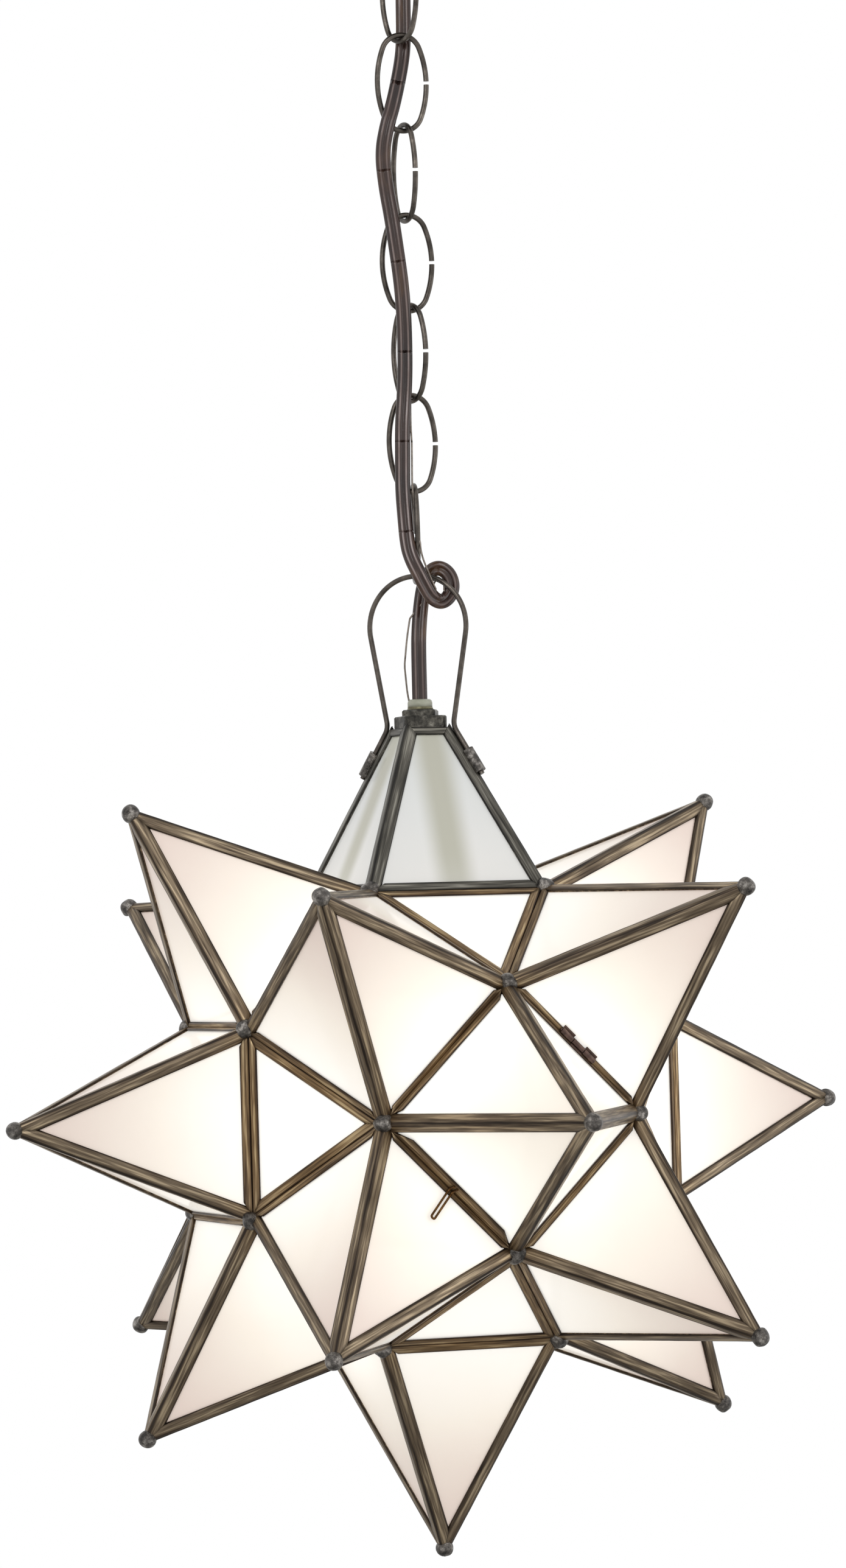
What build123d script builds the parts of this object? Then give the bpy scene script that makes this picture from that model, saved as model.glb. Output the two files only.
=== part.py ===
from build123d import *
from math import acos, atan2, cos, degrees, radians, sin, sqrt, tan
import os

# Moravian star pendant: a star of frosted panes in brass came, hung from a ceiling canopy on an oval link chain.
# Millimetres, +Z up. The origin is the middle of the crossbar's top face, in the plane of the ceiling.

# Star
base_edge = 62.7        # edge of the core that the spikes stand on
spike_height = 72.8     # fold lines' meeting point above the spike's base
glass_thickness = 2.0
glass_inset = 1.6       # edge of a pane to the fold line that its came lies on
came_width = 2.8        # face of the came, from the fold line
came_flange = 0.5       # brass over each face of the pane
fit_gap = 0.05          # play between pieces that are seated in one another
seam_gap = 0.15         # came to the fold plane that it shares with the next came
door_gap = 0.45         # the same at the foot of the door spike
tip_solder_radius = 3.1
tip_solder_rise = 1.0   # middle of the solder ball above the fold lines' meeting point
node_solder_radius = 3.3
node_solder_rise = 1.6  # the same at the core's corners, outwards

# Top fittings of the star
band_height = 3.6
band_width = 15.6
band_corner = 3.2
band_wall = 0.6
plate_thickness = 1.2
tube_diameter = 9.6     # threaded tube, also used in the canopy
tube_bore = 6.4
thread_gap = 0.05
nut_across = 11.6
nut_height = 3.4
thin_nut_height = 2.2   # the one on top of the plate
stem_clear = 0.32       # stem to the came round the cut that it comes out of
stem_stand = 3.2        # stem above the plate
stem_length = 76.2
bail_wire = 1.8
bail_waist_rise = 1.1   # where the legs leave the ridges, above the cut
bail_rise = 52.3        # middle of the wire at the apex, above the same place
bail_spread = 9.3       # each leg's reach outwards on that rise
bail_arch_radius = 17.5
bail_foot_radius = 6.0
bail_foot_length = 20.0
bail_turn = -45.0       # compass angle of the plane of the bail
bail_solder_diameter = 3.9
bail_solder_length = 9.0
bail_solder_start = 1.0 # above the end of the foot

# Lamp holder and lamp
holder_cap_height = 14.0
holder_diameter = 33.0
holder_wall = 1.0
holder_height = 36.0
screw_shell_wall = 0.5
lamp_cap_diameter = 26.0
lamp_cap_height = 24.0
lamp_diameter = 48.0
lamp_length = 66.0      # glass envelope below its cap
lamp_neck_diameter = 25.0
lamp_wall = 0.8
lamp_contact_cone = 5.0 # height and top radius of the cone at the lamp cap's end
insulator_height = 5.0
contact_height = 2.5
contact_radius = 4.0
shell_lip = 1.5         # porcelain below the screw shell
holder_rim = 4.0        # straight side of the holder's cap
holder_hollow = 3.0
holder_neck = 2.5       # wall round the stem at the cap's top

# Door spike
hinge_barrel = 2.4
hinge_pin_diameter = 1.1
hinge_pin_fit = 0.05
hinge_pin_head = 0.4    # pin proud of the knuckles at each end
hinge_knuckle = 5.0
hinge_gap = 0.3
hinge_leaf_width = 2.0
hinge_leaf_thickness = 0.6
hinge_stand = 0.1       # barrel off the came
pull_wire = 0.8
pull_spacing = 1.5
pull_length = 12.8      # over the next spike's face
pull_foot = 3.0         # on the door's came
pull_clear = 0.3        # off the next spike's came
pull_bend = 1.2

# Chain
link_length = 35.3
link_width = 19.1
link_wire = 1.85
link_end_radius = 6.8   # middle of the wire
link_butt_gap = 1.2
link_turns = [-67.0, -9.0, -84.0, -14.0, -70.0, 2.0, 76.0]   # compass angle of each link's plane, from the top
hang_gap = 0.2          # play between two wires that bear on each other

# Ceiling fittings
canopy_diameter = 127.0
canopy_height = 27.0
canopy_wall = 1.2
canopy_rim_height = 4.0
canopy_neck_radius = 14.0
crossbar_length = 100.0
crossbar_width = 19.0
crossbar_thickness = 2.4
slot_spacing = 70.0
slot_width = 4.8
slot_length = 14.0
earth_screw_offset = 18.0
earth_screw_diameter = 4.0
earth_screw_head = 8.0
earth_screw_rise = 2.2
earth_slot_width = 1.0
earth_slot_depth = 0.9
collar_diameter = 17.0
collar_length = 17.0
collar_below_canopy = 10.0
nipple_seat = 7.0       # end of the nipple above the collar's lower end
canopy_nut_diameter = 25.0
canopy_nut_height = 5.0
loop_radius = 8.5       # middle of the loop's wire
loop_wire = 3.2

# Cord
cord_diameter = 4.2     # mean of the two sides of the twin flat cord
cord_turn = -19.3       # compass angle of the direction that the route calls across

os.makedirs("parts", exist_ok=True)

came_thickness = glass_thickness + 2 * (fit_gap + came_flange)
core_apothem = base_edge * (1 + sqrt(2)) / 2
panel_slant = sqrt((base_edge / 2) ** 2 + spike_height ** 2)
half_edge = base_edge / 2
# The top spike is cut off where its came leaves room for the stem.
cut_half = tube_diameter / 2 + stem_clear + came_thickness / 2 * panel_slant / spike_height
top_cut_height = spike_height * (1 - cut_half / half_edge)
bail_waist_height = core_apothem + top_cut_height + bail_waist_rise
bail_apex = bail_waist_height + bail_rise

canopy_bottom = -canopy_height
collar_bottom = canopy_bottom - collar_below_canopy
loop_centre = collar_bottom - loop_radius + loop_wire / 2
loop_bottom = loop_centre - loop_radius
link_centre_length = link_length - link_wire
link_tops = []
carrier = loop_bottom + (loop_wire + link_wire) / 2 + hang_gap
for turn in link_turns:
    link_tops.append(carrier)
    carrier += link_wire + hang_gap - link_centre_length
bail_level = link_tops[-1] - link_centre_length + (link_wire + bail_wire) / 2 + hang_gap
star_height = bail_level - bail_apex


def unit(x, y, z):
    return Vector(x, y, z).normalized()


# Each spike: its direction, and a direction that one of its faces looks in across a fold with another spike.
half = 0.5
root = sqrt(0.5)
star_centre = Vector(0, 0, star_height)


def spike_plane(direction, facing):
    return Plane(origin=star_centre + direction * core_apothem, x_dir=facing, z_dir=direction)


def ring_of_spikes(rise):
    # the six spikes that lean up (rise 1) or down (rise -1)
    spikes = []
    for side in (-1, 1):
        spikes.append((spike_plane(unit(side * root, 0, rise * root), unit(0, 1, 0)), True))
        for depth in (-1, 1):
            direction = unit(side * half, depth * root, rise * half)
            facing = unit(-side * half, depth * root, -rise * half)
            spikes.append((spike_plane(direction, facing), False))
    return spikes


top_plane = spike_plane(unit(0, 0, 1), unit(1, 0, 0))
door_plane = spike_plane(unit(0, -1, 0), unit(1, 0, 1))
spike_groups = {
    "upper": ring_of_spikes(1),
    "middle": [
        (spike_plane(unit(-1, 0, 0), unit(0, 0, 1)), False),
        (spike_plane(unit(1, 0, 0), unit(0, 0, 1)), False),
        (spike_plane(unit(0, 1, 0), unit(1, 0, 1)), True),
    ],
    "lower": ring_of_spikes(-1),
    "bottom": [(spike_plane(unit(0, 0, -1), unit(1, 0, 0)), False)],
}

# Fold planes at the foot of a spike, as their lean from the spike's axis.
face_tilt = degrees(atan2(spike_height, base_edge / 2))
square_fold = 135.0
triangle_fold = 180.0 - degrees(atan2(1, sqrt(2)))
lean_to_spike = (180.0 - square_fold) / 2
lean_to_flat = 90.0 - ((180.0 - face_tilt) - (180.0 - triangle_fold)) / 2
flat_lean = 90.0 - ((180.0 - face_tilt) + (180.0 - triangle_fold)) / 2


def fold_plane(point, outward, gap):
    # a plane through point, set back by the gap, that faces outward
    return Plane(origin=point - outward * gap, z_dir=outward)


def foot_fold(lean, gap):
    outward = Vector(cos(radians(lean)), 0, -sin(radians(lean)))
    return fold_plane(Vector(base_edge / 2, 0, 0), outward, gap)


ridge_folds = [
    fold_plane(Vector(0, 0, 0), Vector(-root, side * root, 0), seam_gap) for side in (-1, 1)
]
node_out = unit(base_edge / 2, base_edge / 2, core_apothem)
tip_ball = Vector(0, 0, spike_height + tip_solder_rise)
node_balls = [
    Vector(base_edge / 2, side * base_edge / 2, 0)
    + Vector(node_out.X, side * node_out.Y, node_out.Z) * node_solder_rise
    for side in (-1, 1)
]
face_plane = Plane(
    origin=(base_edge / 2, 0, 0), x_dir=(0, 1, 0), z_dir=(spike_height, 0, base_edge / 2)
)
cut_slant = panel_slant * top_cut_height / spike_height
triangle_outline = [(-half_edge, 0), (half_edge, 0), (0, panel_slant)]
trapezoid_outline = [(-half_edge, 0), (half_edge, 0), (cut_half, cut_slant), (-cut_half, cut_slant)]
cut_fold = fold_plane(Vector(0, 0, top_cut_height), Vector(0, 0, 1), 0)


def make_came(plane, outline, folds, balls):
    with BuildPart() as came:
        with BuildSketch(plane):
            Polygon(*outline, align=None)
            offset(amount=came_thickness, kind=Kind.INTERSECTION)
        extrude(amount=came_thickness / 2, both=True)
        with BuildSketch(plane):
            Polygon(*outline, align=None)
            offset(amount=-came_width, kind=Kind.INTERSECTION)
        extrude(amount=came_thickness, both=True, mode=Mode.SUBTRACT)
        with BuildSketch(plane):
            Polygon(*outline, align=None)
            offset(amount=fit_gap - glass_inset, kind=Kind.INTERSECTION)
        extrude(amount=glass_thickness / 2 + fit_gap, both=True, mode=Mode.SUBTRACT)
        for fold in folds:
            split(bisect_by=fold, keep=Keep.BOTTOM)
        for centre, radius in balls:
            with Locations(centre):
                Sphere(radius + fit_gap, mode=Mode.SUBTRACT)
    return came.part


def make_pane(plane, outline, balls):
    with BuildPart() as pane:
        with BuildSketch(plane):
            Polygon(*outline, align=None)
            offset(amount=-glass_inset, kind=Kind.INTERSECTION)
        extrude(amount=glass_thickness / 2, both=True)
        for centre, radius in balls:
            with Locations(centre):
                Sphere(radius + fit_gap, mode=Mode.SUBTRACT)
    return pane.part


foot_balls = [(centre, node_solder_radius) for centre in node_balls]
spike_balls = foot_balls + [(tip_ball, tip_solder_radius)]
came_by_spike = make_came(
    face_plane, triangle_outline, ridge_folds + [foot_fold(lean_to_spike, seam_gap)], spike_balls
)
came_by_flat = make_came(
    face_plane, triangle_outline, ridge_folds + [foot_fold(lean_to_flat, seam_gap)], spike_balls
)
came_of_door = make_came(
    face_plane, triangle_outline, ridge_folds + [foot_fold(lean_to_spike, door_gap)], spike_balls
)
top_came_by_spike = make_came(
    face_plane, trapezoid_outline,
    ridge_folds + [foot_fold(lean_to_spike, seam_gap), cut_fold], foot_balls
)
top_came_by_flat = make_came(
    face_plane, trapezoid_outline,
    ridge_folds + [foot_fold(lean_to_flat, seam_gap), cut_fold], foot_balls
)
spike_pane = make_pane(face_plane, triangle_outline, spike_balls)
top_pane = make_pane(face_plane, trapezoid_outline, foot_balls)

quarter_turns = [Location((0, 0, 0), (0, 0, 90 * step)) for step in range(4)]

for group, spikes in spike_groups.items():
    with BuildPart() as spike_came:
        for plane, all_spikes in spikes:
            for step, turn in enumerate(quarter_turns):
                frame = came_by_spike if all_spikes or step % 2 == 0 else came_by_flat
                with Locations(plane.location * turn):
                    add(frame)
    spike_came.part.label = "came_" + group
    export_step(spike_came.part, "parts/came_" + group + ".step")

    with BuildPart() as spike_glass:
        for plane, all_spikes in spikes:
            with Locations([plane.location * turn for turn in quarter_turns]):
                add(spike_pane)
    spike_glass.part.label = "glass_" + group
    export_step(spike_glass.part, "parts/glass_" + group + ".step")

with BuildPart() as came_top:
    for step, turn in enumerate(quarter_turns):
        with Locations(top_plane.location * turn):
            add(top_came_by_spike if step % 2 == 0 else top_came_by_flat)
came_top.part.label = "came_top"
export_step(came_top.part, "parts/came_top.step")

with BuildPart() as glass_top:
    with Locations([top_plane.location * turn for turn in quarter_turns]):
        add(top_pane)
glass_top.part.label = "glass_top"
export_step(glass_top.part, "parts/glass_top.step")

# The eight flat triangles of the core. Each has one corner at a corner of the front or back spike's foot.
flat_height = base_edge * sqrt(3) / 2
flat_apothem = base_edge * (3 + sqrt(2)) / (2 * sqrt(3))
flat_centre_rise = flat_height / 3
flat_outline = [(-half_edge, -flat_centre_rise), (half_edge, -flat_centre_rise), (0, 2 * flat_centre_rise)]
flat_corners = [Vector(x, y, 0) for x, y in flat_outline]
flat_sides = [
    Vector(cos(radians(angle)), sin(radians(angle)), 0) for angle in (-90, 30, 150)
]
flat_folds = [
    fold_plane(
        side * flat_centre_rise,
        side * cos(radians(flat_lean)) + Vector(0, 0, sin(radians(flat_lean))),
        seam_gap,
    )
    for side in flat_sides
]
flat_balls = []
for corner in flat_corners:
    outwards = (corner + Vector(0, 0, flat_apothem)).normalized()
    flat_balls.append((corner + outwards * node_solder_rise, node_solder_radius))
came_of_flat = make_came(Plane.XY, flat_outline, flat_folds, flat_balls)
flat_pane = make_pane(Plane.XY, flat_outline, flat_balls)

flat_places = []
front_corners = [(-1, 0), (1, 0), (0, -1), (0, 1)]
for depth in (-1, 1):
    for side, rise in front_corners:
        corner = Vector(side * sqrt(2), depth * (1 + sqrt(2)), rise * sqrt(2)) * half_edge
        normal = unit(side * sqrt(2), depth, rise * sqrt(2))
        flat_places.append(
            Plane(
                origin=star_centre + normal * flat_apothem,
                x_dir=(corner - normal * flat_apothem).cross(normal),
                z_dir=normal,
            ).location
        )

with BuildPart() as came_flats:
    with Locations(flat_places):
        add(came_of_flat)
came_flats.part.label = "came_flats"
export_step(came_flats.part, "parts/came_flats.step")

with BuildPart() as glass_flats:
    with Locations(flat_places):
        add(flat_pane)
glass_flats.part.label = "glass_flats"
export_step(glass_flats.part, "parts/glass_flats.step")

# Solder balls at the tips and at the core's corners
tip_places = [
    plane.location * Location(tip_ball)
    for spikes in spike_groups.values()
    for plane, all_spikes in spikes
]
with BuildPart() as tip_solder:
    with Locations(tip_places):
        Sphere(tip_solder_radius)
tip_solder.part.label = "tip_solder"
export_step(tip_solder.part, "parts/tip_solder.step")

small, large = half_edge, half_edge * (1 + sqrt(2))
middle = half_edge * sqrt(2)
core_corners = []
for depth in (-1, 1):
    for side, rise in front_corners:
        core_corners.append(Vector(side * middle, depth * large, rise * middle))
    for side in (-1, 1):
        for rise in (-1, 1):
            core_corners.append(Vector(side * large, depth * small, rise * small))
            core_corners.append(Vector(side * small, depth * small, rise * large))
with BuildPart() as node_solder:
    for corner in core_corners:
        with Locations(star_centre + corner + corner.normalized() * node_solder_rise):
            Sphere(node_solder_radius)
node_solder.part.label = "node_solder"
export_step(node_solder.part, "parts/node_solder.step")

# Cut-off top of the star: band, plate and threaded stem
top_level = star_height + core_apothem + top_cut_height
plate_top = top_level + band_height + plate_thickness
stem_top = plate_top + stem_stand
stem_bottom = stem_top - stem_length
thread_radius = tube_diameter / 2 + thread_gap

with BuildPart() as top_band:
    with BuildSketch(Plane.XY.offset(top_level)):
        RectangleRounded(band_width, band_width, band_corner)
        offset(amount=-band_wall, mode=Mode.SUBTRACT)
    extrude(amount=band_height)
top_band.part.label = "top_band"
export_step(top_band.part, "parts/top_band.step")

with BuildPart() as top_plate:
    with BuildSketch(Plane.XY.offset(top_level + band_height)):
        RectangleRounded(band_width, band_width, band_corner)
        Circle(thread_radius, mode=Mode.SUBTRACT)
    extrude(amount=plate_thickness)
    chamfer(top_plate.faces().sort_by(Axis.Z)[-1].outer_wire().edges(), 0.4)
top_plate.part.label = "top_plate"
export_step(top_plate.part, "parts/top_plate.step")


def make_nut(level, across, height):
    # a hexagon nut on the threaded tube, its lower face at level
    with BuildPart() as nut:
        with BuildSketch(Plane.XY.offset(level)):
            RegularPolygon(radius=across / 2, side_count=6, major_radius=False)
            Circle(thread_radius, mode=Mode.SUBTRACT)
        extrude(amount=height)
        chamfer(nut.faces().sort_by(Axis.Z)[-1].outer_wire().edges(), 0.5)
    return nut.part


with BuildPart() as stem_nuts:
    add(make_nut(plate_top, nut_across, thin_nut_height))
    add(make_nut(top_level + band_height - nut_height, nut_across, nut_height))
stem_nuts.part.label = "stem_nuts"
export_step(stem_nuts.part, "parts/stem_nuts.step")


def make_tube(bottom, top):
    with BuildPart() as tube:
        with BuildSketch(Plane.XY.offset(bottom)):
            Circle(tube_diameter / 2)
            Circle(tube_bore / 2, mode=Mode.SUBTRACT)
        extrude(amount=top - bottom)
        chamfer(tube.faces().sort_by(Axis.Z)[-1].outer_wire().edges(), 0.4)
    return tube.part


with BuildPart() as stem:
    add(make_tube(stem_bottom, stem_top))
stem.part.label = "stem"
export_step(stem.part, "parts/stem.step")

# Bail, bent from one wire and soldered down two ridges of the top spike
ridge_run = half_edge * sqrt(2) / spike_height
ridge_lean = atan2(half_edge * sqrt(2), spike_height)
ridge_cover = came_thickness / 2 / sin(acos(spike_height * root / panel_slant))
bail_offset = (ridge_cover + bail_wire / 2 + fit_gap) / cos(ridge_lean)


def bail_reach(height):
    # distance of the bail's wire from the axis where it lies on a ridge, at a height above the star's centre
    return (core_apothem + spike_height - height) * ridge_run + bail_offset


bail_plane = Plane(
    origin=star_centre,
    x_dir=(cos(radians(bail_turn)), sin(radians(bail_turn)), 0),
    z_dir=(sin(radians(bail_turn)), -cos(radians(bail_turn)), 0),
)
foot_height = bail_waist_height - bail_foot_length * cos(ridge_lean)
waist_reach = bail_reach(bail_waist_height)
apex_reach = waist_reach + bail_spread
foot_reach = bail_reach(foot_height)
with BuildPart() as bail:
    with BuildLine(bail_plane) as bail_line:
        FilletPolyline(
            (-foot_reach, foot_height),
            (-waist_reach, bail_waist_height),
            (-apex_reach, bail_apex),
            (apex_reach, bail_apex),
            (waist_reach, bail_waist_height),
            (foot_reach, foot_height),
            radius=[bail_foot_radius, bail_arch_radius, bail_arch_radius, bail_foot_radius],
        )
    bail_path = bail_line.wire()
    with BuildSketch(Plane(origin=bail_path @ 0, z_dir=bail_path % 0)):
        Circle(bail_wire / 2)
    sweep(path=bail_path)
bail.part.label = "bail"
export_step(bail.part, "parts/bail.step")

# Each solder joint is a lump round the foot of the bail that fills in to the ridge.
with BuildPart() as bail_solder:
    for side in (-1, 1):
        foot = bail_plane.from_local_coords(Vector(side * foot_reach, foot_height, 0))
        waist = bail_plane.from_local_coords(Vector(side * waist_reach, bail_waist_height, 0))
        along = (waist - foot).normalized()
        with BuildSketch(Plane(origin=foot + along * bail_solder_start, z_dir=along)):
            Circle(bail_solder_diameter / 2)
            Circle(bail_wire / 2 + fit_gap, mode=Mode.SUBTRACT)
        extrude(amount=bail_solder_length)
    add(came_top.part, mode=Mode.SUBTRACT)
bail_solder.part.label = "bail_solder"
export_step(bail_solder.part, "parts/bail_solder.step")

# Lamp holder: cap on the stem, porcelain shell, screw shell, insulator and centre contact
holder_top = stem_bottom + holder_cap_height
shell_top = stem_bottom
shell_bottom = shell_top - holder_height
with BuildPart() as holder_cap:
    with BuildSketch(Plane.XZ):
        with BuildLine():
            Polyline(
                (thread_radius, shell_top), (holder_diameter / 2, shell_top),
                (holder_diameter / 2, shell_top + holder_rim),
                (thread_radius + 1.6 * holder_neck, holder_top - holder_hollow),
                (thread_radius + holder_neck, holder_top), (thread_radius, holder_top), close=True,
            )
        make_face()
    revolve(axis=Axis.Z)
    with BuildSketch(Plane.XY.offset(shell_top)):
        Circle(holder_diameter / 2 - holder_wall)
    extrude(amount=holder_hollow, mode=Mode.SUBTRACT)
holder_cap.part.label = "holder_cap"
export_step(holder_cap.part, "parts/holder_cap.step")

screw_shell_outer = lamp_cap_diameter / 2 + 0.3 + screw_shell_wall
with BuildPart() as holder_shell:
    with BuildSketch(Plane.XY.offset(shell_bottom)):
        Circle(holder_diameter / 2)
        Circle(screw_shell_outer + fit_gap, mode=Mode.SUBTRACT)
    extrude(amount=holder_height)
    fillet(holder_shell.faces().sort_by(Axis.Z)[0].outer_wire().edges(), 1.0)
holder_shell.part.label = "holder_shell"
export_step(holder_shell.part, "parts/holder_shell.step")

with BuildPart() as insulator:
    with BuildSketch(Plane.XY.offset(shell_top - insulator_height)):
        Circle(screw_shell_outer)
    extrude(amount=insulator_height)
insulator.part.label = "insulator"
export_step(insulator.part, "parts/insulator.step")

with BuildPart() as screw_shell:
    with BuildSketch(Plane.XY.offset(shell_bottom + shell_lip)):
        Circle(screw_shell_outer)
        Circle(screw_shell_outer - screw_shell_wall, mode=Mode.SUBTRACT)
    extrude(amount=holder_height - insulator_height - shell_lip)
screw_shell.part.label = "screw_shell"
export_step(screw_shell.part, "parts/screw_shell.step")

with BuildPart() as centre_contact:
    with BuildSketch(Plane.XY.offset(shell_top - insulator_height - contact_height)):
        Circle(contact_radius)
    extrude(amount=contact_height)
centre_contact.part.label = "centre_contact"
export_step(centre_contact.part, "parts/centre_contact.step")

# Lamp, screwed up against the contact
lamp_top = shell_top - insulator_height - contact_height
lamp_cap_bottom = lamp_top - lamp_cap_height
lamp_seat = lamp_cap_bottom + lamp_wall
with BuildPart() as lamp_cap:
    with BuildSketch(Plane.XZ):
        with BuildLine():
            Polyline(
                (0, lamp_seat), (lamp_cap_diameter / 2, lamp_seat),
                (lamp_cap_diameter / 2, lamp_top - lamp_contact_cone), (lamp_contact_cone, lamp_top),
                (0, lamp_top), close=True,
            )
        make_face()
    revolve(axis=Axis.Z)
lamp_cap.part.label = "lamp_cap"
export_step(lamp_cap.part, "parts/lamp_cap.step")

bulb_centre = lamp_seat - lamp_length + lamp_diameter / 2
with BuildPart() as lamp_glass:
    with BuildSketch(Plane.XZ):
        with BuildLine():
            Line((0, lamp_seat), (lamp_neck_diameter / 2, lamp_seat))
            Spline(
                (lamp_neck_diameter / 2, lamp_seat), (lamp_diameter / 2, bulb_centre),
                tangents=[(0, -1), (0, -1)],
            )
            RadiusArc((lamp_diameter / 2, bulb_centre), (0, bulb_centre - lamp_diameter / 2), lamp_diameter / 2)
            Line((0, bulb_centre - lamp_diameter / 2), (0, lamp_seat))
        make_face()
    revolve(axis=Axis.Z)
    offset(amount=-lamp_wall, openings=lamp_glass.faces().sort_by(Axis.Z)[-1:])
lamp_glass.part.label = "lamp_glass"
export_step(lamp_glass.part, "parts/lamp_glass.step")

# Door spike, hinged on its upper right foot edge
with BuildPart() as came_door:
    with Locations([door_plane.location * turn for turn in quarter_turns]):
        add(came_of_door)
came_door.part.label = "came_door"
export_step(came_door.part, "parts/came_door.step")

with BuildPart() as glass_door:
    with Locations([door_plane.location * turn for turn in quarter_turns]):
        add(spike_pane)
glass_door.part.label = "glass_door"
export_step(glass_door.part, "parts/glass_door.step")

with BuildPart() as tip_door:
    with Locations(door_plane.location * Location(tip_ball)):
        Sphere(tip_solder_radius)
tip_door.part.label = "tip_door"
export_step(tip_door.part, "parts/tip_door.step")

# The barrel lies in the valley between the door's came and the next spike's. In the spike's own frame the
# foot edge is at x = half_edge, and the valley leans out by lean_to_spike.
valley_half = radians(90.0 + lean_to_spike - face_tilt)
hinge_rise = (came_thickness / 2 + hinge_stand + hinge_barrel / 2) / sin(valley_half)
hinge_centre = Vector(
    half_edge + hinge_rise * sin(radians(lean_to_spike)), 0, hinge_rise * cos(radians(lean_to_spike))
)
hinge_plane = Plane(origin=hinge_centre, x_dir=(1, 0, 0), z_dir=(0, -1, 0))
leaf_start = hinge_rise * cos(valley_half)
leaf_plane = face_plane.offset(came_thickness / 2 + fit_gap)
hinge_step = hinge_knuckle + hinge_gap


def make_knuckle(middle):
    # one knuckle with its leaf on the door's came, its middle at this place along the edge
    with BuildPart() as knuckle:
        with BuildSketch(leaf_plane):
            with Locations((middle, leaf_start + hinge_leaf_width / 2)):
                Rectangle(hinge_knuckle, hinge_leaf_width)
        extrude(amount=hinge_leaf_thickness)
        with BuildSketch(hinge_plane.offset(-middle)):
            Circle(hinge_barrel / 2)
        extrude(amount=hinge_knuckle / 2, both=True)
        with BuildSketch(hinge_plane.offset(-middle)):
            Circle(hinge_pin_diameter / 2 + hinge_pin_fit)
        extrude(amount=hinge_knuckle, both=True, mode=Mode.SUBTRACT)
    return knuckle.part


with BuildPart() as hinge_door:
    with Locations(door_plane.location):
        add(make_knuckle(0))
hinge_door.part.label = "hinge_door"
export_step(hinge_door.part, "parts/hinge_door.step")

valley_plane = foot_fold(lean_to_spike, 0)
with BuildPart() as hinge_star:
    for side in (-1, 1):
        with Locations(door_plane.location):
            add(mirror(make_knuckle(side * hinge_step), about=valley_plane, mode=Mode.PRIVATE))
hinge_star.part.label = "hinge_star"
export_step(hinge_star.part, "parts/hinge_star.step")

hinge_pin_length = 2 * hinge_step + hinge_knuckle + 2 * hinge_pin_head
pin_axis = door_plane.location * hinge_plane.location
with BuildPart() as hinge_pin:
    with BuildSketch(Plane(pin_axis)):
        Circle(hinge_pin_diameter / 2)
    extrude(amount=hinge_pin_length / 2, both=True)
    fillet(hinge_pin.edges().filter_by(GeomType.CIRCLE), 0.3)
hinge_pin.part.label = "hinge_pin"
export_step(hinge_pin.part, "parts/hinge_pin.step")

# Wire pull: a hairpin soldered on the lower left came of the door, that lies over the next spike's face.
pull_stand = came_thickness / 2 + fit_gap + pull_wire / 2
pull_valley = Vector(-sin(radians(lean_to_spike)), 0, cos(radians(lean_to_spike))) * (
    (pull_stand + pull_clear) / sin(valley_half)
) - Vector(half_edge, 0, 0)
door_slope = Vector(half_edge, 0, spike_height).normalized()
pull_away = Vector(
    -sin(radians(lean_to_spike) + valley_half), 0, cos(radians(lean_to_spike) + valley_half)
)
pull_on_door = pull_valley + door_slope * pull_foot
pull_end = pull_valley + pull_away * pull_length
with BuildPart() as door_pull:
    with BuildLine() as pull_line:
        FilletPolyline(
            pull_on_door + Vector(0, pull_spacing / 2, 0),
            pull_valley + Vector(0, pull_spacing / 2, 0),
            pull_end + Vector(0, pull_spacing / 2, 0),
            pull_end - Vector(0, pull_spacing / 2, 0),
            pull_valley - Vector(0, pull_spacing / 2, 0),
            pull_on_door - Vector(0, pull_spacing / 2, 0),
            radius=[pull_bend, pull_spacing * 0.45, pull_spacing * 0.45, pull_bend],
        )
    with BuildSketch(Plane(origin=pull_line.line @ 0, z_dir=pull_line.line % 0)):
        Circle(pull_wire / 2)
    sweep(path=pull_line.line)
placed_pull = door_plane.location * door_pull.part
placed_pull.label = "door_pull"
export_step(placed_pull, "parts/door_pull.step")

# Chain: oval wire links, each with a butt gap in the middle of one side
link_half_length = link_centre_length / 2
link_half_width = (link_width - link_wire) / 2
end_rise = link_half_length - link_end_radius
link_side_radius = (link_half_width ** 2 + end_rise ** 2 - link_end_radius ** 2) / (
    2 * (link_half_width - link_end_radius)
)
side_sweep = degrees(atan2(end_rise, link_side_radius - link_half_width))
butt_angle = degrees(link_butt_gap / 2 / link_side_radius)
side_centre = link_side_radius - link_half_width
for number, (turn, level) in enumerate(zip(link_turns, link_tops), start=1):
    link_plane = Plane(
        origin=(0, 0, level - link_half_length),
        x_dir=(cos(radians(turn)), sin(radians(turn)), 0),
        z_dir=(sin(radians(turn)), -cos(radians(turn)), 0),
    )
    with BuildPart() as link:
        with BuildLine(link_plane) as link_line:
            CenterArc((-side_centre, 0), link_side_radius, butt_angle, side_sweep - butt_angle)
            CenterArc((0, end_rise), link_end_radius, side_sweep, 180 - 2 * side_sweep)
            CenterArc((side_centre, 0), link_side_radius, 180 - side_sweep, 2 * side_sweep)
            CenterArc((0, -end_rise), link_end_radius, 180 + side_sweep, 180 - 2 * side_sweep)
            CenterArc((-side_centre, 0), link_side_radius, -side_sweep, side_sweep - butt_angle)
        with BuildSketch(Plane(origin=link_line.line @ 0, z_dir=link_line.line % 0)):
            Circle(link_wire / 2)
        sweep(path=link_line.line)
    name = "link_" + str(number)
    link.part.label = name
    export_step(link.part, "parts/" + name + ".step")

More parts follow.
